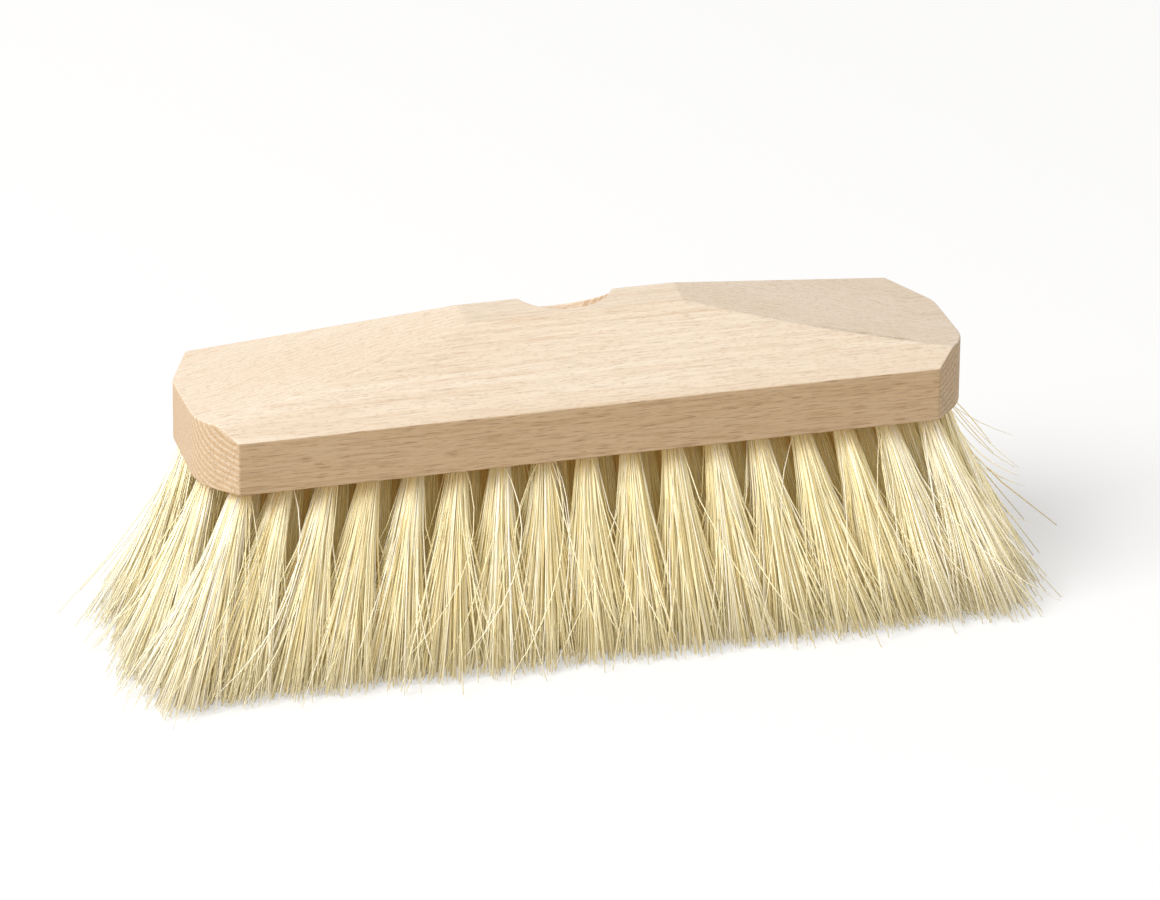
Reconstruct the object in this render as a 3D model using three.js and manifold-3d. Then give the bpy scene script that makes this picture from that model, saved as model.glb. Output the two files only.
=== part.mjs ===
// Tar brush head: a saddle-shaped beech block with five rows of fibre tufts, each held by a wire staple.
// Millimetres, +Z up, X along the block, -Y towards the front; the fibre tips stand on z = 0.
import * as THREE from "three";
import { mergeVertices } from "three/addons/utils/BufferGeometryUtils.js";
import Module from "manifold-3d";

const wasm = await Module();
wasm.setup();

// Fits
const CLEARANCE = 0.3;

// Block, heights measured from its underside
const BRISTLE_LENGTH = 65;
const BLOCK_HALF_LENGTH = 120;
const BLOCK_HALF_WIDTH = 33;
const FRONT_CLIP_LENGTH = 11;
const FRONT_CLIP_DEPTH = 11;
const BACK_CLIP_LENGTH = 9;
const BACK_CLIP_DEPTH = 22;
const END_ROUNDING = 18;
const EDGE_HEIGHT = 17.3;
const LAND_HEIGHT = 38.7;
const LAND_HALF_LENGTH = 34;
const LAND_FRONT = -10.7;
const LAND_BACK = 2;
const CREASE_END_HEIGHT = 21.5;
const CREASE_BOW = 1;
const FRONT_STATIONS = 3;
const ROUNDING_STEPS = 3;

// Handle socket, tapered and leaning back
const SOCKET_MOUTH_RADIUS = 16;
const SOCKET_FLOOR_RADIUS = 14;
const SOCKET_DEPTH = 18;
const SOCKET_LEAN = THREE.MathUtils.degToRad(25);
const SOCKET_MOUTH_Y = 8.7;
const SOCKET_SIDES = 40;

// Tufts, in staggered rows
const ROW_COUNTS = [17, 18, 17, 18, 17];
const TUFT_END_MARGIN = 7;
const TUFT_SIDE_MARGIN = 8;
const TUFT_PITCH = (2 * (BLOCK_HALF_LENGTH - TUFT_END_MARGIN)) / (Math.max(...ROW_COUNTS) - 1);
const ROW_SPACING = (2 * (BLOCK_HALF_WIDTH - TUFT_SIDE_MARGIN)) / (ROW_COUNTS.length - 1);
const HOLE_RADIUS = 3.25;
const HOLE_DEPTH = 11;
const HOLE_SIDES = 8;

// Slice of the underside that carries the strands
const SLICE_INSET = 3;
const SLICE_POCKET_DEPTH = 3;

// Strands
const OUTER_STRANDS = 4;
const STRAND_SIDES = 3;
const STRAND_RING = 1.75;
const STRAND_ROOT_RADIUS = 0.95;
const STRAND_TIP_RADIUS = 1.2;
const STRAND_BITE = 0.8;
const FAN_X_RATIO = 5;
const FAN_Y_RATIO = 6.5;
const FLARE_X_RATIO = 1.22;
const FLARE_Y_RATIO = 1.37;

// Staples
const WIRE = 1;
const STAPLE_SPAN = 4.4;
const STAPLE_LEG = 4.5;
const STAPLED_ROWS = [0, 2, 4];

// Levels above the floor, all worked out from the sizes above
const UNDERSIDE = BRISTLE_LENGTH;
const SLICE_TOP = UNDERSIDE + SLICE_POCKET_DEPTH - CLEARANCE;
const HOLE_TOP = UNDERSIDE + HOLE_DEPTH;
const CROWN_TOP = HOLE_TOP - CLEARANCE;
const CROWN_BOTTOM = CROWN_TOP - WIRE;
const PEG_TOP = CROWN_BOTTOM - CLEARANCE;
const LEG_TOP = CROWN_TOP + STAPLE_LEG;

/** A solid for joining and cutting, from a geometry. */
function solid(geometry) {
  const bare = geometry.index ? geometry.clone() : geometry;
  bare.deleteAttribute("normal");
  bare.deleteAttribute("uv");
  const merged = mergeVertices(bare, 1e-4);
  return new wasm.Manifold(new wasm.Mesh({
    numProp: 3,
    vertProperties: new Float32Array(merged.attributes.position.array),
    triVerts: new Uint32Array(merged.index.array),
  }));
}

/** A solid from a list of points and a list of three-point faces. */
function faceted(points, faces) {
  return new wasm.Manifold(new wasm.Mesh({
    numProp: 3,
    vertProperties: new Float32Array(points.flat()),
    triVerts: new Uint32Array(faces.flat()),
  }));
}

/** An upright prism between two levels. */
function prism(x, y, radius, sides, bottom, top) {
  const shape = new THREE.CylinderGeometry(radius, radius, top - bottom, sides);
  shape.rotateX(Math.PI / 2);
  shape.translate(x, y, (bottom + top) / 2);
  return solid(shape);
}

/** A box between two levels. */
function box(x, y, sizeX, sizeY, bottom, top) {
  const shape = new THREE.BoxGeometry(sizeX, sizeY, top - bottom);
  shape.translate(x, y, (bottom + top) / 2);
  return solid(shape);
}

/** A named mesh with a material of its own. */
function piece(name, body, color, roughness, metalness) {
  const mesh = body.getMesh();
  const geometry = new THREE.BufferGeometry();
  geometry.setAttribute("position", new THREE.BufferAttribute(new Float32Array(mesh.vertProperties), 3));
  geometry.setIndex(new THREE.BufferAttribute(new Uint32Array(mesh.triVerts), 1));
  const material = new THREE.MeshStandardMaterial({ color, roughness, metalness });
  const made = new THREE.Mesh(geometry, material);
  made.name = name;
  return made;
}

/** Plan of one end from front corner to back corner: clipped corners, each rounded into the end face. */
function endPlan(inset) {
  const rounding = END_ROUNDING - inset;
  const clipped = (length, depth, side) => {
    const slant = Math.hypot(length, depth);
    const cornerX = BLOCK_HALF_LENGTH - length - (inset * (slant - length)) / depth;
    const kneeY = BLOCK_HALF_WIDTH - depth - (inset * (slant - depth)) / length;
    const turn = Math.atan2(length, depth);
    const centre = [BLOCK_HALF_LENGTH - END_ROUNDING, kneeY - rounding * Math.tan(turn / 2)];
    const points = [[cornerX, side * (BLOCK_HALF_WIDTH - inset)]];
    for (let k = ROUNDING_STEPS; k >= 0; k -= 1) {
      const angle = (turn * k) / ROUNDING_STEPS;
      points.push([centre[0] + rounding * Math.cos(angle), side * (centre[1] + rounding * Math.sin(angle))]);
    }
    return points;
  };
  const back = clipped(BACK_CLIP_LENGTH, BACK_CLIP_DEPTH, 1);
  return clipped(FRONT_CLIP_LENGTH, FRONT_CLIP_DEPTH, -1).concat(back.reverse());
}

/** The whole plan outline, counter-clockwise. */
function fullPlan(inset) {
  const end = endPlan(inset);
  return end.concat(end.map(([x, y]) => [-x, y]).reverse());
}

/** A slab of the given outline between two levels. */
function slab(outline, bottom, top) {
  const shape = new THREE.Shape(outline.map(([x, y]) => new THREE.Vector2(x, y)));
  const geometry = new THREE.ExtrudeGeometry(shape, { depth: top - bottom, bevelEnabled: false });
  geometry.translate(0, 0, bottom);
  return solid(geometry);
}

/** Tuft centres of one row. */
function rowCentres(row) {
  const count = ROW_COUNTS[row];
  const y = (row - (ROW_COUNTS.length - 1) / 2) * ROW_SPACING;
  return Array.from({ length: count }, (_, k) => [(k - (count - 1) / 2) * TUFT_PITCH, y]);
}

/** The block's outer shape: level land in the middle, wings falling to the ends, slopes to front and back. */
function blockShape() {
  const points = [];
  const faces = [];
  const add = (x, y, height) => points.push([x, y, UNDERSIDE + height]) - 1;
  const mix = (a, b, t) => a + (b - a) * t;
  const plan = endPlan(0);
  const [frontX, frontY] = plan[0];
  const backCorner = plan[plan.length - 1];
  const creaseEnd = plan[1];

  // vertices of one half, then of the other half as its mirror image
  const half = (side) => {
    const land = [LAND_FRONT, LAND_BACK].map((y) => add(side * LAND_HALF_LENGTH, y, LAND_HEIGHT));
    const edge = [];
    const crease = [land[0]];
    for (let k = 0; k <= FRONT_STATIONS; k += 1) {
      const t = k / FRONT_STATIONS;
      edge.push(add(side * mix(LAND_HALF_LENGTH, frontX, t), frontY, EDGE_HEIGHT));
      if (k > 0) {
        const bow = CREASE_BOW * Math.sin(Math.PI * t);
        crease.push(add(side * mix(LAND_HALF_LENGTH, creaseEnd[0], t),
          mix(LAND_FRONT, creaseEnd[1], t) - bow,
          mix(LAND_HEIGHT, CREASE_END_HEIGHT, t) - bow));
      }
    }
    const end = plan.slice(2).map(([x, y]) => {
      const t = (y - creaseEnd[1]) / (backCorner[1] - creaseEnd[1]);
      return add(side * x, y, mix(CREASE_END_HEIGHT, EDGE_HEIGHT, t));
    });
    return { land, edge, crease, end };
  };
  const right = half(1);
  const left = half(-1);

  // every facet of the top is a polygon in plan, cut into triangles that face up
  const facet = (ring) => {
    const flat = ring.map((i) => new THREE.Vector2(points[i][0], points[i][1]));
    const order = THREE.ShapeUtils.isClockWise(flat) ? ring.slice().reverse() : ring;
    const contour = order.map((i) => new THREE.Vector2(points[i][0], points[i][1]));
    for (const [a, b, c] of THREE.ShapeUtils.triangulateShape(contour, [])) {
      faces.push([order[a], order[b], order[c]]);
    }
  };
  const last = FRONT_STATIONS;
  for (const { land, edge, crease, end } of [right, left]) {
    for (let k = 0; k < last; k += 1) {
      facet([edge[k], edge[k + 1], crease[k]]);
      facet([crease[k], edge[k + 1], crease[k + 1]]);
    }
    // the crease ends where the front clip turns; the wing runs from there along the end to the back corner
    facet([...crease, ...end, land[1]]);
  }
  facet([left.land[0], left.land[1], right.land[1], right.land[0]]);
  facet([left.edge[0], right.edge[0], right.land[0], left.land[0]]);
  const backRight = right.end[right.end.length - 1];
  const backLeft = left.end[left.end.length - 1];
  facet([right.land[1], backRight, backLeft, left.land[1]]);

  // walls and underside
  const rim = [...right.edge, right.crease[last], ...right.end];
  const rimLeft = [...left.edge, left.crease[last], ...left.end].reverse();
  const ring = rim.concat(rimLeft);
  const floor = ring.map((i) => points.push([points[i][0], points[i][1], UNDERSIDE]) - 1);
  ring.forEach((top, k) => {
    const next = (k + 1) % ring.length;
    faces.push([top, floor[k], floor[next]]);
    faces.push([top, floor[next], ring[next]]);
  });
  const under = floor.map((i) => new THREE.Vector2(points[i][0], points[i][1]));
  for (const [a, b, c] of THREE.ShapeUtils.triangulateShape(under, [])) {
    faces.push([floor[a], floor[c], floor[b]]);
  }
  return faceted(points, faces);
}

/** The tapered socket, its floor square to its leaning axis. */
function socketCut() {
  const rise = (SOCKET_MOUTH_RADIUS - SOCKET_FLOOR_RADIUS) / SOCKET_DEPTH;
  const length = SOCKET_DEPTH * 2;
  const wide = SOCKET_FLOOR_RADIUS + rise * length;
  const shape = new THREE.CylinderGeometry(wide, SOCKET_FLOOR_RADIUS, length, SOCKET_SIDES);
  shape.rotateX(Math.PI / 2);
  shape.translate(0, 0, length / 2 - SOCKET_DEPTH);
  shape.rotateX(-SOCKET_LEAN);
  shape.translate(0, SOCKET_MOUTH_Y, UNDERSIDE + LAND_HEIGHT);
  return solid(shape);
}

/** One strand from the slice to the floor: it fans out of its tuft and leans with the whole brush. */
function strand(tuft, offset, turn) {
  const points = [];
  const faces = [];
  const top = UNDERSIDE + STRAND_BITE;
  for (const drop of [0, 1]) {
    const radius = STRAND_ROOT_RADIUS + (STRAND_TIP_RADIUS - STRAND_ROOT_RADIUS) * drop;
    const x = tuft[0] * (1 + (FLARE_X_RATIO - 1) * drop) + offset[0] * (1 + (FAN_X_RATIO - 1) * drop);
    const y = tuft[1] * (1 + (FLARE_Y_RATIO - 1) * drop) + offset[1] * (1 + (FAN_Y_RATIO - 1) * drop);
    for (let s = 0; s < STRAND_SIDES; s += 1) {
      const angle = turn + (s * 2 * Math.PI) / STRAND_SIDES;
      points.push([x + radius * Math.cos(angle), y + radius * Math.sin(angle), top * (1 - drop)]);
    }
  }
  for (let s = 0; s < STRAND_SIDES; s += 1) {
    const next = (s + 1) % STRAND_SIDES;
    faces.push([s, s + STRAND_SIDES, next]);
    faces.push([next, s + STRAND_SIDES, next + STRAND_SIDES]);
  }
  faces.push([0, 1, 2]);
  faces.push([STRAND_SIDES + 2, STRAND_SIDES + 1, STRAND_SIDES]);
  return faceted(points, faces);
}

/** Rows of tufts: folded ends in their holes, a slice of the underside, and the strands below it. */
function tuftRows(rows, sliceFront, sliceBack) {
  const reach = 4 * BLOCK_HALF_LENGTH;
  const band = box(0, (sliceFront + sliceBack) / 2, reach, sliceBack - sliceFront, 0, reach);
  let body = slab(fullPlan(SLICE_INSET + CLEARANCE), UNDERSIDE, SLICE_TOP).intersect(band);
  for (const row of rows) {
    for (const tuft of rowCentres(row)) {
      const root = UNDERSIDE + STRAND_BITE;
      body = body.add(prism(tuft[0], tuft[1], HOLE_RADIUS - CLEARANCE, HOLE_SIDES, root, PEG_TOP));
      body = body.add(strand(tuft, [0, 0], 0));
      for (let k = 0; k < OUTER_STRANDS; k += 1) {
        const turn = ((k + 0.5) * 2 * Math.PI) / OUTER_STRANDS;
        const offset = [STRAND_RING * Math.cos(turn), STRAND_RING * Math.sin(turn)];
        body = body.add(strand(tuft, offset, turn));
      }
    }
  }
  return body;
}

/** One staple: a crown across the folded tuft and two legs up into the wood. */
function staple([x, y], grow) {
  const wire = WIRE + 2 * grow;
  let body = box(x, y, STAPLE_SPAN + 2 * grow, wire, CROWN_BOTTOM - grow, CROWN_TOP + grow);
  for (const side of [-1, 1]) {
    const legX = x + (side * (STAPLE_SPAN - WIRE)) / 2;
    body = body.add(box(legX, y, wire, wire, CROWN_BOTTOM - grow, LEG_TOP + grow));
  }
  return body;
}

const group = new THREE.Group();
group.name = "tar_brush_head";

const pocketTop = UNDERSIDE + SLICE_POCKET_DEPTH;
let block = blockShape().subtract(socketCut());
block = block.subtract(slab(fullPlan(SLICE_INSET), UNDERSIDE - CLEARANCE, pocketTop));
for (let row = 0; row < ROW_COUNTS.length; row += 1) {
  for (const tuft of rowCentres(row)) {
    block = block.subtract(prism(tuft[0], tuft[1], HOLE_RADIUS, HOLE_SIDES, UNDERSIDE, HOLE_TOP));
    if (STAPLED_ROWS.includes(row)) {
      block = block.subtract(staple(tuft, CLEARANCE));
    }
  }
}
group.add(piece("block", block, 0xd8b98e, 0.6, 0));

const sliceEdge = 1.5 * ROW_SPACING;
const gap = CLEARANCE / 2;
const outside = BLOCK_HALF_WIDTH;
group.add(piece("front_bristles", tuftRows([0], -outside, -sliceEdge - gap), 0xe6d6a8, 0.8, 0));
group.add(piece("middle_bristles", tuftRows([1, 2, 3], gap - sliceEdge, sliceEdge - gap), 0xdfcd9c, 0.8, 0));
group.add(piece("back_bristles", tuftRows([4], sliceEdge + gap, outside), 0xe3d2a3, 0.8, 0));

for (const row of STAPLED_ROWS) {
  rowCentres(row).forEach((tuft, k) => {
    group.add(piece(`staple_row${row + 1}_${k + 1}`, staple(tuft, 0), 0x9a9c9e, 0.35, 1));
  });
}

export default group;
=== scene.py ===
import math

import bpy
import numpy as np
from mathutils import Matrix, Vector


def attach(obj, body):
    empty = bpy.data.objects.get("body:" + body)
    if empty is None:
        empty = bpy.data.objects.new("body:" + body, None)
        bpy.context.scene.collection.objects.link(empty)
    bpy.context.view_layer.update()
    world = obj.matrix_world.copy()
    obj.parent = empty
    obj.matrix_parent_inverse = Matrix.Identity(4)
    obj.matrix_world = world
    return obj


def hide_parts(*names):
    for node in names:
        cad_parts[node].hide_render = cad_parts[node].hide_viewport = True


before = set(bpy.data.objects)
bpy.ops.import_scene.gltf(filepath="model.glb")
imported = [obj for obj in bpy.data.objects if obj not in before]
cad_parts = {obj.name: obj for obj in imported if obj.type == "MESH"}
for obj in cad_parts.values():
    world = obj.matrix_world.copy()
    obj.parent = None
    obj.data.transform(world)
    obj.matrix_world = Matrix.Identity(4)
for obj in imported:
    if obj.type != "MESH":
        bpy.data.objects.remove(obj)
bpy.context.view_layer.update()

# Beech block: one piece of raw, sanded beech, sawn to a saddle shape with a level land in the middle,
# hollow wings that fall to the ends and clipped, rounded corners. The handle socket is bored into the
# back edge of the land, leaning back.
block_underside = 0.065
block_half_length, block_half_width = 0.120, 0.033
edge_height, land_height = 0.0173, 0.0387
land_half_length, land_front, land_back = 0.034, -0.0107, 0.002
front_clip, back_clip = (0.011, 0.011), (0.009, 0.022)
end_rounding, rounding_points = 0.018, 8
crease_end_height, crease_bow, crease_points = 0.0215, 0.001, 7
socket_lean, socket_depth, socket_sides = math.radians(25.0), 0.018, 72
socket_mouth_radius, socket_floor_radius, socket_mouth_y = 0.016, 0.014, 0.0087
eased_edge, eased_steps, crisp_angle = 0.0005, 2, math.radians(11.0)
sanded_pale, sanded_warm = (0.865, 0.745, 0.605, 1.0), (0.800, 0.655, 0.495, 1.0)
ring_brown, streak_brown = (0.640, 0.455, 0.285, 1.0), (0.640, 0.455, 0.290, 1.0)
# The sawn sides' brown is partly the sawn wood's own tone and partly painted shade.
speck_brown, sawn_and_shade_brown = (0.560, 0.370, 0.220, 1.0), (0.490, 0.312, 0.155, 1.0)
score_brown, dash_brown = (0.360, 0.220, 0.110, 1.0), (0.330, 0.195, 0.105, 1.0)
ring_scale, pith_shift, ring_waver, full_turn = (0.0, 520.0, 520.0), (0.0, 18.7, -48.5), 2.2, 6.2832
side_to_top, side_to_end = (0.3, 0.6), (0.35, 0.7)


def end_outline():
    """Right end in plan, front corner to back corner: at each corner a straight clip, then an arc of the
    rounding's radius tangent to clip and end face."""
    def corner(length, depth, side):
        """One corner: the clip's start on the long edge, then the arc from the clip round to the end face."""
        turn = math.atan2(length, depth)
        angle = turn * np.linspace(1.0, 0.0, rounding_points)
        centre = block_half_width - depth - end_rounding * math.tan(turn / 2)
        arc = np.stack([block_half_length + end_rounding * (np.cos(angle) - 1.0),
                        side * (centre + end_rounding * np.sin(angle))], axis=1)
        return np.concatenate([[[block_half_length - length, side * block_half_width]], arc])

    return np.concatenate([corner(*front_clip, -1.0), corner(*back_clip, 1.0)[::-1]])


def saddle_block():
    """Corner points and facets of the block: the front slope is ruled from the straight front edge to the
    crease line, the wing spans crease, end outline and land, the back slope falls evenly to the back edge.
    The right half is worked out and mirrored."""
    end = end_outline()
    part = np.linspace(0.0, 1.0, crease_points)[:, None]
    bow = crease_bow * np.sin(np.pi * part)
    edge = np.hstack([land_half_length + (end[0, 0] - land_half_length) * part,
                      np.full_like(part, -block_half_width), np.full_like(part, edge_height)])
    crease = np.hstack([land_half_length + (end[1, 0] - land_half_length) * part,
                        land_front + (end[1, 1] - land_front) * part - bow,
                        land_height + (crease_end_height - land_height) * part - bow])
    run = (end[2:, 1:] - end[1, 1]) / (block_half_width - end[1, 1])
    wing = np.hstack([end[2:], crease_end_height + (edge_height - crease_end_height) * run])
    land = np.array([[land_half_length, land_back, land_height]])
    half = np.concatenate([edge, crease, wing, land])
    rim = np.concatenate([edge, crease[-1:], wing])
    rim[:, 2] = 0.0
    half = np.concatenate([half, rim]) + [0.0, 0.0, block_underside]
    points = np.concatenate([half, half * [-1.0, 1.0, 1.0]])

    other = len(half)
    on_edge, on_crease = np.arange(len(edge)), len(edge) + np.arange(len(crease))
    on_wing = 2 * len(edge) + np.arange(len(wing))
    on_land = 2 * len(edge) + len(wing)
    below = on_land + 1 + np.arange(len(rim))
    top_rim = np.concatenate([on_edge, on_crease[-1:], on_wing])
    facets = np.stack([on_edge[:-1], on_edge[1:], on_crease[:-1]], axis=1).tolist()
    facets += np.stack([on_crease[:-1], on_edge[1:], on_crease[1:]], axis=1).tolist()
    facets += [[*on_crease, *on_wing, on_land]]
    facets += np.stack([below[:-1], below[1:], top_rim[1:], top_rim[:-1]], axis=1).tolist()
    mirrored = [[corner + other for corner in reversed(facet)] for facet in facets]
    front, ridge, back, low_front, low_back = on_edge[0], on_crease[0], on_wing[-1], below[0], below[-1]
    across = [[front + other, front, ridge, ridge + other],
              [ridge + other, ridge, on_land, on_land + other],
              [on_land + other, on_land, back, back + other],
              [low_front, *(below + other), *below[:0:-1]],
              [low_front + other, low_front, front, front + other],
              [low_back, low_back + other, back + other, back]]
    return points, [[int(corner) for corner in facet] for facet in facets + mirrored + across]


def socket_reamer():
    """A cone from the socket's floor out past its mouth, turned about the leaning axis: radius grows evenly."""
    step = np.arange(socket_sides)
    turn = step * 2.0 * np.pi / socket_sides
    reach = np.array([0.0, 2.0 * socket_depth])
    radius = socket_floor_radius + (socket_mouth_radius - socket_floor_radius) / socket_depth * reach
    level = np.broadcast_to(reach[:, None] - socket_depth, (2, socket_sides))
    rings = np.stack([radius[:, None] * np.cos(turn), radius[:, None] * np.sin(turn), level], axis=2)
    lean = np.array(Matrix.Rotation(-socket_lean, 3, "X"))
    points = rings.reshape(-1, 3) @ lean.T + [0.0, socket_mouth_y, block_underside + land_height]
    ahead = (step + 1) % socket_sides
    walls = np.stack([step, ahead, ahead + socket_sides, step + socket_sides], axis=1).tolist()
    return points, walls + [step[::-1].tolist(), (step + socket_sides).tolist()]


def ranged(tree, value, from_low, from_high, to_low, to_high, curve="SMOOTHSTEP"):
    """A value carried from one range to another and held at the ends, along a smooth or a straight curve."""
    step = tree.nodes.new("ShaderNodeMapRange")
    step.interpolation_type = curve
    ends = {"From Min": from_low, "From Max": from_high, "To Min": to_low, "To Max": to_high}
    for name, number in ends.items():
        step.inputs[name].default_value = number
    tree.links.new(value, step.inputs["Value"])
    return step.outputs["Result"]


def tinted(tree, base, tint, amount):
    """Base colour drawn towards a tint: base times one minus the amount, plus tint times the amount."""
    step = tree.nodes.new("ShaderNodeMix")
    step.data_type = "RGBA"
    tree.links.new(amount, step.inputs["Factor"])
    step.inputs["B"].default_value = tint
    if isinstance(base, tuple):
        step.inputs["A"].default_value = base
    else:
        tree.links.new(base, step.inputs["A"])
    return step.outputs["Result"]


def beech():
    """Raw beech: growth rings round a pith line along X, fine grain drawn out along X, specks, scores and
    darker dashes of noise stretched along X. The sides are darker than the sanded top and the ends less so,
    partly the sawn wood's own tone and partly painted shade."""
    wood = bpy.data.materials.new("raw_beech")
    wood.use_nodes = True
    tree = wood.node_tree
    new, link = tree.nodes.new, tree.links.new
    shader = tree.nodes["Principled BSDF"]
    place = new("ShaderNodeTexCoord")

    def stretched(scale, shift=(0.0, 0.0, 0.0)):
        """Object coordinates times the scale, plus the shift."""
        step = new("ShaderNodeMapping")
        step.inputs["Scale"].default_value = scale
        step.inputs["Location"].default_value = shift
        link(place.outputs["Object"], step.inputs["Vector"])
        return step.outputs["Vector"]

    def noise(vector, detail, rough=0.5):
        """Smooth noise of one unit's grain, with finer layers added by detail and roughness."""
        step = new("ShaderNodeTexNoise")
        step.inputs["Scale"].default_value = 1.0
        step.inputs["Detail"].default_value = detail
        step.inputs["Roughness"].default_value = rough
        link(vector, step.inputs["Vector"])
        return step.outputs["Fac"]

    def sums(operation, first, second):
        """One step of arithmetic on two values, each a number or another step's result."""
        step = new("ShaderNodeMath")
        step.operation = operation
        for socket, value in zip(step.inputs, (first, second)):
            if isinstance(value, float):
                socket.default_value = value
            else:
                link(value, socket)
        return step.outputs["Value"]

    # rings: distance from the pith line, in ring widths, bent by a slow noise
    pith = new("ShaderNodeVectorMath")
    pith.operation = "LENGTH"
    link(stretched(ring_scale, pith_shift), pith.inputs[0])
    waver = sums("MULTIPLY", noise(stretched((6.0, 22.0, 22.0)), detail=2.0), ring_waver)
    turn = sums("MULTIPLY", sums("ADD", pith.outputs["Value"], waver), full_turn)
    rings = ranged(tree, sums("SINE", turn, 0.0), -0.2, 0.95, 1.0, 0.0)

    # grain: from the slowest cloud to the finest dash, each drawn out along the block
    cloud = noise(stretched((9.0, 70.0, 70.0), (3.0, 1.0, 2.0)), detail=2.0)
    streaks = noise(stretched((22.0, 1000.0, 1000.0)), detail=3.0, rough=0.6)
    scores = noise(stretched((75.0, 1500.0, 1500.0), (2.0, 9.0, 4.0)), detail=4.0, rough=0.65)
    scores = ranged(tree, scores, 0.46, 0.66, 0.0, 1.0)
    dashes = noise(stretched((150.0, 3600.0, 3600.0), (7.0, 3.0, 5.0)), detail=3.0)
    dashes = ranged(tree, dashes, 0.55, 0.67, 0.0, 1.0)
    specks = noise(stretched((520.0, 2700.0, 2700.0)), detail=1.0)
    specks = ranged(tree, specks, 0.56, 0.70, 0.0, 1.0)

    # faces: the way a face looks tells sanded top, sawn side and end grain apart; the darker sides, and less
    # dark ends, are partly the sawn wood's own tone and partly painted shade
    facing = new("ShaderNodeSeparateXYZ")
    link(place.outputs["Normal"], facing.inputs["Vector"])
    upwards = facing.outputs["Z"]
    endwise = sums("ABSOLUTE", facing.outputs["X"], 0.0)
    sawn = ranged(tree, upwards, *side_to_top, 1.0, 0.0)
    ring_show = sums("ADD", ranged(tree, upwards, *side_to_top, 0.22, 0.14),
                     ranged(tree, endwise, *side_to_end, 0.0, 0.55))
    sawn_and_shade_show = sums("MULTIPLY", sawn, ranged(tree, endwise, *side_to_end, 0.70, 0.33))
    score_show = sums("MULTIPLY", scores, ranged(tree, upwards, *side_to_top, 0.42, 0.06))
    dash_show = sums("MULTIPLY", dashes, ranged(tree, upwards, *side_to_top, 0.75, 0.26))

    colour = tinted(tree, sanded_pale, sanded_warm, ranged(tree, cloud, 0.35, 0.7, 0.0, 0.5))
    colour = tinted(tree, colour, ring_brown, sums("MULTIPLY", rings, ring_show))
    colour = tinted(tree, colour, streak_brown, ranged(tree, streaks, 0.48, 0.75, 0.0, 0.45))
    colour = tinted(tree, colour, speck_brown, sums("MULTIPLY", specks, 0.34))
    # sides darkened, the ends less and the top not: partly the sawn wood's tone, partly painted shade
    colour = tinted(tree, colour, sawn_and_shade_brown, sawn_and_shade_show)
    colour = tinted(tree, colour, score_brown, score_show)
    colour = tinted(tree, colour, dash_brown, dash_show)
    link(colour, shader.inputs["Base Color"])
    link(ranged(tree, streaks, 0.3, 0.75, 0.52, 0.68), shader.inputs["Roughness"])
    shader.inputs["Specular IOR Level"].default_value = 0.3
    relief = new("ShaderNodeBump")
    relief.inputs["Strength"].default_value = 0.25
    relief.inputs["Distance"].default_value = 0.0002
    link(sums("SUBTRACT", streaks, dashes), relief.inputs["Height"])
    link(relief.outputs["Normal"], shader.inputs["Normal"])
    return wood


def solid_piece(name, points, facets):
    """A mesh object at the origin, from corner points and facets."""
    mesh = bpy.data.meshes.new(name)
    mesh.from_pydata(np.asarray(points).tolist(), [], facets)
    mesh.update()
    piece = bpy.data.objects.new(name, mesh)
    bpy.context.scene.collection.objects.link(piece)
    return piece


block = solid_piece("beech_block", *saddle_block())
reamer = solid_piece("reamer", *socket_reamer())
bore = block.modifiers.new("socket", "BOOLEAN")
bore.operation, bore.solver, bore.object = "DIFFERENCE", "EXACT", reamer
bored = bpy.data.meshes.new_from_object(block.evaluated_get(bpy.context.evaluated_depsgraph_get()))
block.modifiers.clear()
block.data = bored
bpy.data.objects.remove(reamer)
bored.polygons.foreach_set("use_smooth", np.ones(len(bored.polygons), dtype=bool))
bored.materials.clear()
bored.materials.append(beech())
eased = block.modifiers.new("eased_edges", "BEVEL")
eased.width, eased.segments, eased.limit_method = eased_edge, eased_steps, "ANGLE"
eased.angle_limit, eased.harden_normals = crisp_angle, True
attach(block, "root")
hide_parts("block")

# Wire staples: drawn steel wire bent to a U, one in each tuft hole, with its crown over the folded fibres
# and its two legs driven up into the wood. Rows 1, 3 and 5 come with the solids, rows 2 and 4 are made here.
tuft_rows = (17, 18, 17, 18, 17)
end_margin, side_margin = 0.007, 0.008
tuft_pitch = 2.0 * (block_half_length - end_margin) / (max(tuft_rows) - 1)
row_spacing = (block_half_width - side_margin) / 2.0
wire_radius, wire_sides, wire_grey = 0.0005, 8, (0.60, 0.61, 0.62, 1.0)
staple_half_span, crown_level, leg_level = 0.0017, 0.0752, 0.0802
staple_bend = np.array([(-1.0, 1.0), (-1.0, 0.5), (-1.0, 0.06), (-0.8, 0.0), (0.0, 0.0),
                        (0.8, 0.0), (1.0, 0.06), (1.0, 0.5), (1.0, 1.0)])


def row_centres(row):
    """Tuft centres of one row: evenly pitched about the middle."""
    place = (np.arange(tuft_rows[row]) - (tuft_rows[row] - 1) / 2.0) * tuft_pitch
    return np.stack([place, np.full(tuft_rows[row], (row - 2) * row_spacing)], axis=1)


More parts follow.
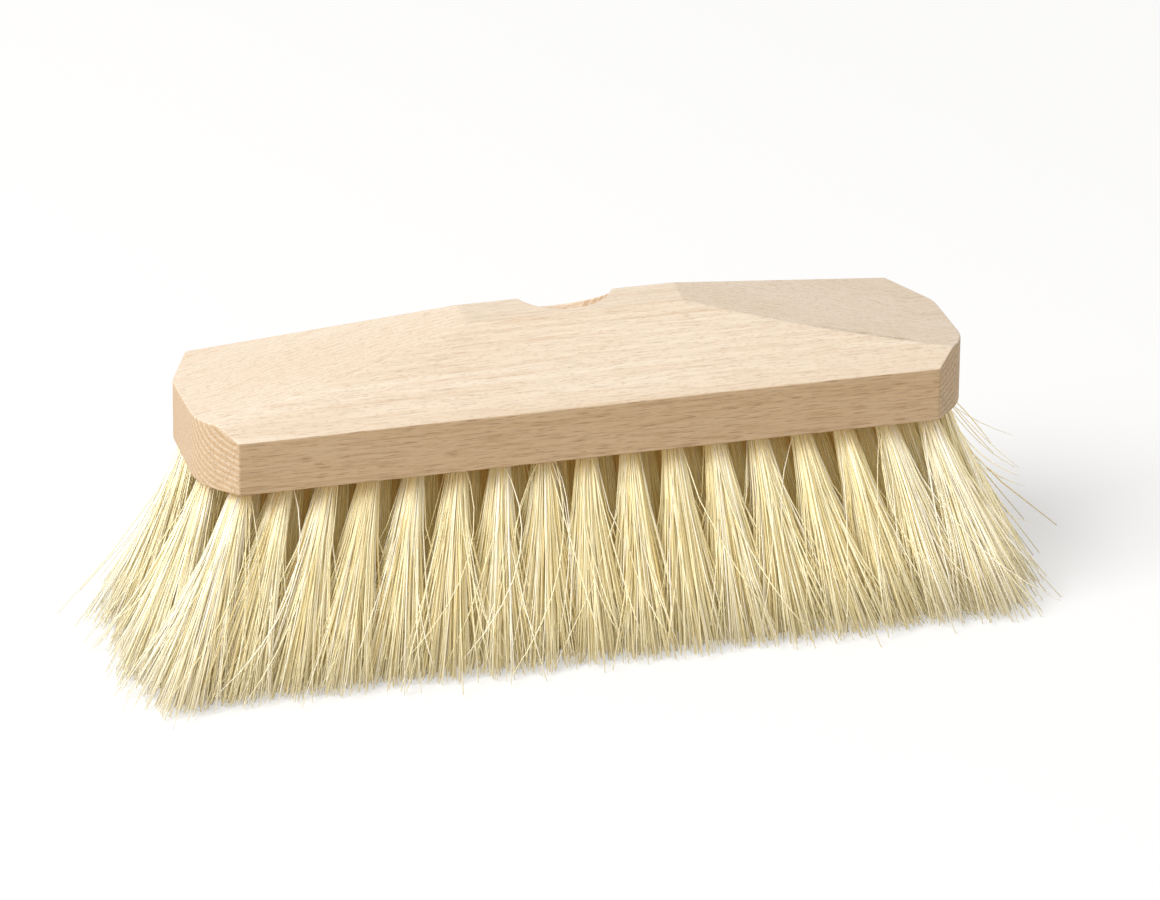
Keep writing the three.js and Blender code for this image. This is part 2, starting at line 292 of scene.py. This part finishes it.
def swept(name, paths, radii, sides):
    """Round strands: at each point of each path a ring of the given radius, square to the path's direction,
    joined ring to ring and closed at both ends. paths is strands by points by 3, radii strands by points."""
    count, steps, _ = paths.shape
    along = np.gradient(paths, axis=1)
    along /= np.linalg.norm(along, axis=2, keepdims=True)
    slanting = np.array([0.23, 0.87, 0.43])
    side = np.cross(along, slanting)
    side /= np.linalg.norm(side, axis=2, keepdims=True)
    out = np.cross(along, side)
    corner = np.arange(sides)
    angle = corner * 2.0 * np.pi / sides
    ring = side[:, :, None] * np.cos(angle)[:, None] + out[:, :, None] * np.sin(angle)[:, None]
    points = paths[:, :, None] + ring * radii[:, :, None, None]
    first = (np.arange(count) * steps * sides)[:, None, None]
    base = first + np.arange(steps - 1)[:, None] * sides
    here, ahead = base + corner, base + (corner + 1) % sides
    walls = np.stack([here, ahead, ahead + sides, here, ahead + sides, here + sides], axis=3).reshape(-1, 3)
    fan = np.stack([np.zeros(sides - 2, int), corner[1:-1], corner[2:]], axis=1)
    root = (first + fan[:, ::-1]).reshape(-1, 3)
    tip = (first + (steps - 1) * sides + fan).reshape(-1, 3)
    faces = np.concatenate([walls, root, tip]).astype(np.int32)
    mesh = bpy.data.meshes.new(name)
    mesh.vertices.add(count * steps * sides)
    mesh.vertices.foreach_set("co", points.reshape(-1).astype(np.float32))
    mesh.loops.add(faces.size)
    mesh.loops.foreach_set("vertex_index", faces.reshape(-1))
    mesh.polygons.add(len(faces))
    mesh.polygons.foreach_set("loop_start", np.arange(0, faces.size, 3, dtype=np.int32))
    mesh.polygons.foreach_set("use_smooth", np.ones(len(faces), dtype=bool))
    mesh.update(calc_edges=True)
    piece = bpy.data.objects.new(name, mesh)
    bpy.context.scene.collection.objects.link(piece)
    return piece


def drawn_wire():
    """Bright drawn wire: plain metal with fine scuffs of noise in its roughness."""
    wire = bpy.data.materials.new("drawn_wire")
    wire.use_nodes = True
    tree = wire.node_tree
    shader = tree.nodes["Principled BSDF"]
    shader.inputs["Base Color"].default_value = wire_grey
    shader.inputs["Metallic"].default_value = 1.0
    place = tree.nodes.new("ShaderNodeTexCoord")
    scuff = tree.nodes.new("ShaderNodeTexNoise")
    scuff.inputs["Scale"].default_value = 1800.0
    tree.links.new(place.outputs["Object"], scuff.inputs["Vector"])
    rough = ranged(tree, scuff.outputs["Fac"], 0.0, 1.0, 0.25, 0.5, "LINEAR")
    tree.links.new(rough, shader.inputs["Roughness"])
    return wire


wire = drawn_wire()
shape = np.stack([staple_bend[:, 0] * staple_half_span, np.zeros(len(staple_bend)),
                  crown_level + staple_bend[:, 1] * (leg_level - crown_level)], axis=1)
seats = np.concatenate([row_centres(1), row_centres(3)])
legs = shape[None] + np.pad(seats, ((0, 0), (0, 1)))[:, None]
staples = swept("wire_staples_rows_2_4", legs, np.full(legs.shape[:2], wire_radius), wire_sides)
staples.data.materials.append(wire)
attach(staples, "root")
for name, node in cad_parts.items():
    if name.startswith("staple_"):
        node.data.materials.clear()
        node.data.materials.append(wire)

# Fibre tufts: stiff cream plant fibre, folded over the staples and packed into the holes, some five hundred
# ends a tuft. Each tuft opens like a fan, leans out with the rest of the brush, and is trimmed level.
fibres_per_tuft, wisps_per_tuft, fibre_sides = 540, 14, 3
fibre_points = np.array([0.0, 0.33, 0.68, 1.0])
fibre_radius, fibre_taper = (0.00018, 0.00030), ([0.0, 0.85, 1.0], [1.0, 0.9, 0.7])
hole_radius, root_depth, tip_clearance = 0.0027, 0.001, 0.0002
flare_x, flare_y = (1.20, 1.17, 1.21, 1.15, 1.13), 1.38
fan_ratio, fan_spread, fan_bend, end_fan = 4.1, (0.70, 1.10), 1.3, (1.0, 1.25)
wisp_spread, loose_spread, wisp_bend = 0.0018, (0.0018, 0.0010), 1.7
sprung_share, sprung_times = 0.14, 4.2
ragged_tip, short_share, shortfall = 0.0015, 0.10, 0.005
wave_pace, wave_start, wave_size = (1.5, 4.5), (0.0, 6.3), 0.0010
# Each row's mean tone: the three inner rows are darker than the front and back rows, painted shade in the gaps
# between tufts.
row_tone_and_shade, tone_spread = (0.62, 0.45, 0.45, 0.45, 0.62), 0.24
# The end tufts are paler: painted light where the lamps and sheen catch the ends of the brush.
end_painted_light, end_steepness = 0.34, 6
# Run at each row's roots and at the end tufts' roots: a later start takes less of the painted root shade.
row_root_run, end_root_run = (0.38, 0.28, 0.0, 0.28, 0.38), 0.38
straw, cream = (0.78, 0.62, 0.28, 1.0), (0.90, 0.79, 0.46, 1.0)
light_cream, palest_cream = (0.95, 0.89, 0.64, 1.0), (0.99, 0.97, 0.90, 1.0)
# The amber is painted shade, the warm shade in the gaps between tufts and under the block; the tip cream is
# partly painted light.
painted_root_shade, tip_cream = (0.90, 0.52, 0.13, 1.0), (1.0, 0.94, 0.70, 1.0)
sheen_cream = (1.0, 0.95, 0.80, 1.0)
row_nodes = ("front_bristles", "middle_bristles", "middle_bristles", "middle_bristles", "back_bristles")


def plant_fibre():
    """Cream fibre: each strand has a tone of its own, is drawn to amber near its root, painted shade for
    the gaps between tufts and under the block, and is paler towards its cut tip, partly the cut ends' own
    tone and partly painted light on the shade near the floor.
    """
    fibre = bpy.data.materials.new("plant_fibre")
    fibre.use_nodes = True
    tree = fibre.node_tree
    new, link = tree.nodes.new, tree.links.new
    shader = tree.nodes["Principled BSDF"]
    tone = new("ShaderNodeAttribute")
    tone.attribute_name = "fibre_tone"
    run = new("ShaderNodeAttribute")
    run.attribute_name = "fibre_run"
    ramp = new("ShaderNodeValToRGB")
    stops = ramp.color_ramp.elements
    stops.remove(stops[1])
    stops[0].color = straw
    for position, colour in ((0.30, cream), (0.75, light_cream), (1.0, palest_cream)):
        stops.new(position).color = colour
    link(tone.outputs["Fac"], ramp.inputs["Fac"])
    # drawn to amber near the root: painted shade
    shade_near_root = ranged(tree, run.outputs["Fac"], 0.0, 0.50, 0.95, 0.0, "LINEAR")
    # paler towards the cut tip: partly the cut ends' own tone, partly painted light on the shade near the floor
    near_tip = ranged(tree, run.outputs["Fac"], 0.68, 1.0, 0.0, 0.25, "LINEAR")
    colour = tinted(tree, ramp.outputs["Color"], painted_root_shade, shade_near_root)
    colour = tinted(tree, colour, tip_cream, near_tip)
    link(colour, shader.inputs["Base Color"])
    shader.inputs["Roughness"].default_value = 0.5
    shader.inputs["Specular IOR Level"].default_value = 0.35
    shader.inputs["Sheen Weight"].default_value = 0.6
    shader.inputs["Sheen Roughness"].default_value = 0.4
    shader.inputs["Sheen Tint"].default_value = sheen_cream
    return fibre


def toned(piece, tone, run):
    """Stores each strand's tone and the run along it on the mesh: 1 at the tip, and at the root 0, or more
    where the strand is to take less of the painted root shade.
    """
    for name, values in (("fibre_tone", tone), ("fibre_run", run)):
        layer = piece.data.attributes.new(name, "FLOAT", "POINT")
        layer.data.foreach_set("value", np.repeat(values.reshape(-1), fibre_sides).astype(np.float32))


def tuft_fibres(row, dice):
    """Paths of one row's fibres: from a spot in the hole to a tip at the tuft's flared place plus the spot's
    fan, in loose wisps, with a slow wave that grows towards the tip. Heights fall evenly to ragged tips."""
    tufts = np.repeat(row_centres(row), fibres_per_tuft, axis=0)
    count = len(tufts)
    angle, reach = dice.uniform(0.0, 2.0 * np.pi, count), np.sqrt(dice.uniform(0.0, 1.0, count))
    spot = hole_radius * reach[:, None] * np.stack([np.cos(angle), np.sin(angle)], axis=1)
    tuft = np.repeat(np.arange(tuft_rows[row]), fibres_per_tuft)
    wisps = dice.normal(0.0, wisp_spread, (tuft_rows[row], wisps_per_tuft, 2))
    wisp = wisps[tuft, dice.integers(0, wisps_per_tuft, count)]
    loose = dice.normal(0.0, loose_spread, (count, 2))
    loose = loose * np.where(dice.uniform(size=count) < sprung_share, sprung_times, 1.0)[:, None]
    at_end = ((tuft == 0) | (tuft == tuft_rows[row] - 1))[:, None]
    fan = spot * fan_ratio * dice.uniform(*fan_spread, (count, 1)) * np.where(at_end, end_fan, 1.0)
    lean = tufts * [flare_x[row] - 1.0, flare_y - 1.0]
    short = np.abs(dice.normal(0.0, ragged_tip, count))
    short = short + np.where(dice.uniform(size=count) < short_share, shortfall, 0.0)
    run = fibre_points[None, :, None]
    root = tufts + spot
    flat = root[:, None] + lean[:, None] * run + (fan - spot)[:, None] * run ** fan_bend
    flat = flat + (wisp + loose)[:, None] * run ** wisp_bend
    pace = dice.uniform(*wave_pace, (count, 1, 2))
    wave = np.sin(pace * run + dice.uniform(*wave_start, (count, 1, 2)))
    flat = flat + wave * run * dice.normal(0.0, wave_size, (count, 1, 1))
    top = block_underside + root_depth
    height = top + (short[:, None, None] + tip_clearance - top) * run
    paths = np.concatenate([flat, height], axis=2)
    radii = dice.uniform(*fibre_radius, (count, 1)) * np.interp(fibre_points, *fibre_taper)
    outermost = block_half_length - end_margin
    # mean tone: the row's, lower on the inner rows for painted shade, raised on the end tufts for painted light
    pale = row_tone_and_shade[row] + end_painted_light * np.abs(tufts[:, :1] / outermost) ** end_steepness
    tone = np.clip(dice.normal(pale, tone_spread), 0.0, 1.0) * np.ones((1, len(fibre_points)))
    # the run starts later on the outer rows and end tufts, so the painted root shade lies mostly on the inner
    # rows
    root_run = np.where(at_end, end_root_run, row_root_run[row])
    return paths, radii, tone, root_run + (1.0 - root_run) * run[..., 0]


fibre = plant_fibre()
glowing = bpy.data.collections.new("lit_fibres")
dice = np.random.default_rng(24)
for row, node in enumerate(row_nodes):
    paths, radii, tone, run = tuft_fibres(row, dice)
    tufts = swept(f"fibre_tufts_row_{row + 1}", paths, radii, fibre_sides)
    toned(tufts, tone, run)
    tufts.data.materials.append(fibre)
    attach(tufts, "root")
    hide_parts(node)
    glowing.objects.link(tufts)

# Stray fibres: single fibres that have sprung out of their tufts, most of them lying across the neighbours,
# some standing out from the ends of the brush. The same fibre, a little paler, held by the same staples.
strays_across, strays_outward, stray_points = 90, 16, 9
stray_radius, stray_taper = (0.00014, 0.00023), ([0.0, 0.8, 1.0], [1.0, 0.9, 0.5])
# Strays start part way along the run, so they take a little of the painted root shade.
stray_paleness, stray_tone_spread, stray_root_run = 0.75, 0.15, 0.35
front_share, start_spread, start_outward = 0.7, 0.001, 0.002
sideways, outward = (-0.020, 0.020), (0.006, 0.011)
across_low, across_low_spread, lowest = 0.004, 0.006, 0.001
stray_bow, late_turn = [0.003, 0.0015, 0.002], 0.42
right_share, end_start, end_start_y = 0.8, 0.1145, (-0.018, 0.004)
end_reach, end_swerve, end_low = (0.020, 0.033), 0.005, (0.014, 0.040)
knee_x, knee_lift = (0.117, 0.127), (0.006, 0.016)


def stray_fibres(dice):
    """Paths of the strays: parabolas from root to tip, pulled towards a knee. The knee of those that lie across
    is their middle plus a bow; the knee of those that stand out lies on the side of the end tufts."""
    count = strays_across + strays_outward
    side = np.where(dice.uniform(size=strays_across) < front_share, -1.0, 1.0)
    tuft = row_centres(0)[dice.integers(0, tuft_rows[0], strays_across), 0]
    start = np.stack([tuft + dice.normal(0.0, start_spread, strays_across),
                      side * (2.0 * row_spacing + start_outward)], axis=1)
    shift = np.stack([dice.uniform(*sideways, strays_across),
                      side * dice.uniform(*outward, strays_across)], axis=1)
    finish = start * [flare_x[0], flare_y] + shift
    end = np.where(dice.uniform(size=strays_outward) < right_share, 1.0, -1.0)
    begin = np.stack([end * end_start, dice.uniform(*end_start_y, strays_outward)], axis=1)
    reach = begin + np.stack([end * dice.uniform(*end_reach, strays_outward),
                              dice.normal(0.0, end_swerve, strays_outward)], axis=1)
    root = np.pad(np.concatenate([start, begin]), ((0, 0), (0, 1)),
                  constant_values=block_underside + root_depth)
    low = np.concatenate([np.abs(dice.normal(across_low, across_low_spread, strays_across)) + lowest,
                          dice.uniform(*end_low, strays_outward)])
    tip = np.concatenate([np.concatenate([finish, reach]), low[:, None]], axis=1)
    run = np.linspace(0.0, 1.0, stray_points)[None, :, None]
    bow = dice.normal(0.0, stray_bow, (count, 3))[:, None]
    knee = (root + tip)[:, None] / 2.0 + 2.0 * bow
    knee[:strays_across, 0, 0] -= late_turn * (tip - root)[:strays_across, 0]
    knee[strays_across:, 0] = np.stack([end * dice.uniform(*knee_x, strays_outward),
                                        (begin + reach)[:, 1] / 2.0,
                                        low[strays_across:] + dice.uniform(*knee_lift, strays_outward)], axis=1)
    paths = root[:, None] * (1.0 - run) ** 2 + 2.0 * knee * run * (1.0 - run) + tip[:, None] * run ** 2
    radii = dice.uniform(*stray_radius, (count, 1)) * np.interp(run[0, :, 0], *stray_taper)
    tone = np.clip(dice.normal(stray_paleness, stray_tone_spread, (count, 1)), 0.0, 1.0)
    tone = tone * np.ones((1, stray_points))
    shown_run = stray_root_run + (1.0 - stray_root_run) * run[..., 0]
    return paths, radii, tone, np.broadcast_to(shown_run, (count, stray_points))


paths, radii, tone, run = stray_fibres(dice)
strays = swept("stray_fibres", paths, radii, fibre_sides)
toned(strays, tone, run)
strays.data.materials.append(fibre)
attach(strays, "root")
glowing.objects.link(strays)

# Floor: a plain sheet of matt white card that lies under the fibre tips and keeps the brush's soft shadow.
# To the eye it is half lit by itself, so that it comes out white; to the light it is a slightly warm grey.
floor_half = 4.0
floor_corners = floor_half * np.array([(-1, -1, 0), (1, -1, 0), (1, 1, 0), (-1, 1, 0)])
card_white, card_thrown, card_glow = (0.95, 0.95, 0.95, 1.0), (0.85, 0.81, 0.70, 1.0), 0.5


def by_view(tree, unseen, seen, output):
    """One shader for rays from the eye, a mirror or glass, another for the rest: the largest of the three
    flags, 0 or 1, mixes them into the output."""
    path = tree.nodes.new("ShaderNodeLightPath")
    flag = path.outputs["Is Camera Ray"]
    for name in ("Is Glossy Ray", "Is Transmission Ray"):
        larger = tree.nodes.new("ShaderNodeMath")
        larger.operation = "MAXIMUM"
        tree.links.new(flag, larger.inputs[0])
        tree.links.new(path.outputs[name], larger.inputs[1])
        flag = larger.outputs["Value"]
    choose = tree.nodes.new("ShaderNodeMixShader")
    tree.links.new(flag, choose.inputs["Fac"])
    tree.links.new(unseen, choose.inputs[1])
    tree.links.new(seen, choose.inputs[2])
    tree.links.new(choose.outputs["Shader"], tree.nodes[output].inputs["Surface"])


floor = solid_piece("floor", floor_corners, [[0, 1, 2, 3]])
card = bpy.data.materials.new("white_floor")
card.use_nodes = True
tree = card.node_tree
matt = tree.nodes["Principled BSDF"]
matt.inputs["Base Color"].default_value = card_white
matt.inputs["Roughness"].default_value = 0.9
matt.inputs["Specular IOR Level"].default_value = 0.0
thrown = tree.nodes.new("ShaderNodeBsdfDiffuse")
thrown.inputs["Color"].default_value = card_thrown
glow = tree.nodes.new("ShaderNodeEmission")
pale = tree.nodes.new("ShaderNodeMixShader")
pale.inputs["Fac"].default_value = card_glow
tree.links.new(matt.outputs["BSDF"], pale.inputs[1])
tree.links.new(glow.outputs["Emission"], pale.inputs[2])
by_view(tree, thrown.outputs["BSDF"], pale.outputs["Shader"], "Material Output")
floor.data.materials.append(card)

# Studio light: one large soft lamp high on the left and an even pale room. Plant fibre lets light through,
# so five weak lamps light the fibres alone and stand in for that. One of them is warm and throws no shadow,
# for the light that comes through to the gaps between the tufts.
aim, lamp_distance = Vector((0.0018, -0.0114, 0.0570)), 4.5
through_colour, room_colour, room_strength = (1.0, 0.76, 0.36), (1.0, 0.97, 0.93, 1.0), 0.39
lamps = (("key_lamp", (-0.62, -0.25, 0.74), 2.6, 212.0),
         ("fibre_front_lamp", (-0.20, -0.40, 0.90), 6.0, 62.0),
         ("fibre_left_lamp", (-0.90, 0.10, 0.42), 3.0, 48.0),
         ("fibre_right_lamp", (0.90, -0.10, 0.42), 3.0, 66.0),
         ("fibre_back_lamp", (-0.10, 0.90, 0.42), 3.0, 60.0),
         ("fibre_through_lamp", (-0.30, -0.85, 0.30), 3.0, 45.0))
for name, towards, size, watts in lamps:
    lamp = bpy.data.lights.new(name, "AREA")
    lamp.size, lamp.energy = size, watts
    holder = bpy.data.objects.new(name, lamp)
    ray = Vector(towards).normalized()
    holder.location = aim + ray * lamp_distance
    holder.rotation_euler = ray.to_track_quat("Z", "Y").to_euler()
    bpy.context.scene.collection.objects.link(holder)
    if name.startswith("fibre"):
        holder.light_linking.receiver_collection = glowing
    if name == "fibre_through_lamp":
        lamp.color, lamp.use_shadow = through_colour, False
room = bpy.data.worlds.new("pale_room")
bpy.context.scene.world = room
room.use_nodes = True
tree = room.node_tree
dim = tree.nodes["Background"]
dim.inputs["Color"].default_value = room_colour
dim.inputs["Strength"].default_value = room_strength
white = tree.nodes.new("ShaderNodeBackground")
white.inputs["Color"].default_value = (1.0, 1.0, 1.0, 1.0)
white.inputs["Strength"].default_value = 1.0
by_view(tree, dim.outputs["Background"], white.outputs["Background"], "World Output")

# Camera: a long lens that stands 2.7 m off at the front left and looks down about 27 degrees on the middle
# of the brush. It is rolled a little about its own axis, as the photograph was taken.
view_azimuth, view_elevation = math.radians(-14.986), math.radians(26.556)
view_roll, view_distance, view_end = math.radians(0.60), 2.735, 30.0
sensor_width, focal_pixels, photo_pixels = 36.0, 9000.0, 1160.0
backward = Vector((math.sin(view_azimuth) * math.cos(view_elevation),
                   -math.cos(view_azimuth) * math.cos(view_elevation), math.sin(view_elevation)))
level = Vector((math.cos(view_azimuth), math.sin(view_azimuth), 0.0))
upward = backward.cross(level)
rightward = math.cos(view_roll) * level + math.sin(view_roll) * upward
upward = backward.cross(rightward)
lens = bpy.data.cameras.new("photo_view")
lens.sensor_width, lens.clip_end = sensor_width, view_end
lens.lens = sensor_width * focal_pixels / photo_pixels
camera = bpy.data.objects.new("photo_view", lens)
turned = Matrix((rightward, upward, backward)).transposed().to_4x4()
camera.matrix_world = Matrix.Translation(aim + backward * view_distance) @ turned
bpy.context.scene.collection.objects.link(camera)
bpy.context.scene.camera = camera
bpy.context.scene.view_settings.view_transform = "Standard"
